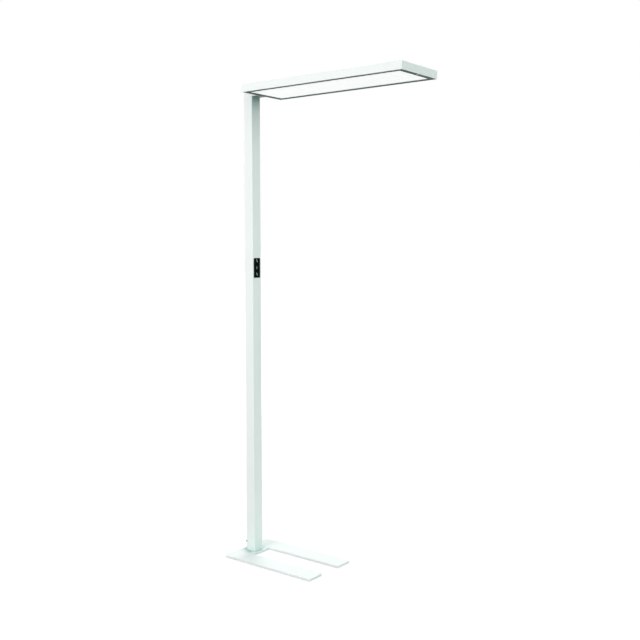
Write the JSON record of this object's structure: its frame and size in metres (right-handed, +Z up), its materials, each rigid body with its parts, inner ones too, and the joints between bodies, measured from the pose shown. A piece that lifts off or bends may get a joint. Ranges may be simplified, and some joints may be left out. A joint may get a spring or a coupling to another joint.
{
  "type": "office floor lamp",
  "caption": "Free-standing office floor lamp: U-shaped base plate, square hollow column with a keypad, and a long flat LED head with a dark rim and an opal diffuser.",
  "frame": {"origin": "on the floor at the column's axis, in the floor pad's rest face", "axes": "+Z up along the column, +X along the head and the base's arms, +Y across the base; the outside is symmetric about y = 0"},
  "size_m": [0.8535, 0.265, 1.95],
  "materials": {
    "white_steel": "white powder coat on steel, satin",
    "white_aluminium": "white powder coat on aluminium, satin",
    "rim_grey": "dark grey powder coat, matte",
    "steel": "zinc-plated, satin",
    "opal": "opal acrylic, satin",
    "gland_grey": "moulded polyamide, matte",
    "keypad_black": "moulded, matte",
    "key_black": "moulded, satin",
    "soft_grey": "matte",
    "soft_black": "matte",
    "green_board": "satin",
    "white_board": "white solder mask, satin",
    "driver_case": "matte",
    "pale_plastic": "matte",
    "wire_grey": "satin",
    "wire_red": "satin",
    "wire_blue": "satin"
  },
  "bodies": {
    "lamp": {"base_plate": "white_steel", "floor_pad": "soft_grey", "foot_screws": "steel", "column_profile": "white_aluminium", "column_cap": "white_aluminium", "cap_screws": "steel", "gland_body": "gland_grey", "gland_nut": "gland_grey", "gland_seal": "soft_black", "gland_lock_nut": "gland_grey", "keypad_bezel": "keypad_black", "key_mat": "soft_black", "keypad_board": "green_board", "keypad_back": "keypad_black", "keypad_screws": "steel", "neck_arm": "white_aluminium", "neck_plate": "steel", "neck_screws": "steel", "head_bracket": "steel", "head_screws": "steel", "bracket_screws": "steel", "rail_near": "white_aluminium", "rail_far": "white_aluminium", "rail_neck": "white_aluminium", "rail_tip": "white_aluminium", "corner_keys": "steel", "rim": "rim_grey", "diffuser": "opal", "gear_tray": "white_steel", "tray_screws": "steel", "down_led_boards": "white_board", "up_led_boards": "white_board", "driver": "driver_case", "driver_screws": "steel", "terminal_block": "pale_plastic", "top_cover": "white_aluminium", "cover_screws": "steel", "top_window": "opal", "sensor_housing": "gland_grey", "sensor_lens": "opal", "mains_lead": "wire_grey", "keypad_lead": "wire_grey", "driver_lead": "wire_grey", "led_leads": "wire_red", "sensor_lead": "wire_blue"},
    "key_brighter": {"key_brighter": "key_black"},
    "key_on_off": {"key_on_off": "key_black"},
    "key_dimmer": {"key_dimmer": "key_black"}
  },
  "joints": [
    {"name": "key_brighter_press", "type": "slide", "parent": "lamp", "child": "key_brighter", "axis": [-1, 0, 0], "range_m": [0, 0.0008], "stiffness_N_per_m": 900, "springref_m": -0.0006},
    {"name": "key_on_off_press", "type": "slide", "parent": "lamp", "child": "key_on_off", "axis": [-1, 0, 0], "range_m": [0, 0.0008], "stiffness_N_per_m": 900, "springref_m": -0.0006},
    {"name": "key_dimmer_press", "type": "slide", "parent": "lamp", "child": "key_dimmer", "axis": [-1, 0, 0], "range_m": [0, 0.0008], "stiffness_N_per_m": 900, "springref_m": -0.0006}
  ]
}
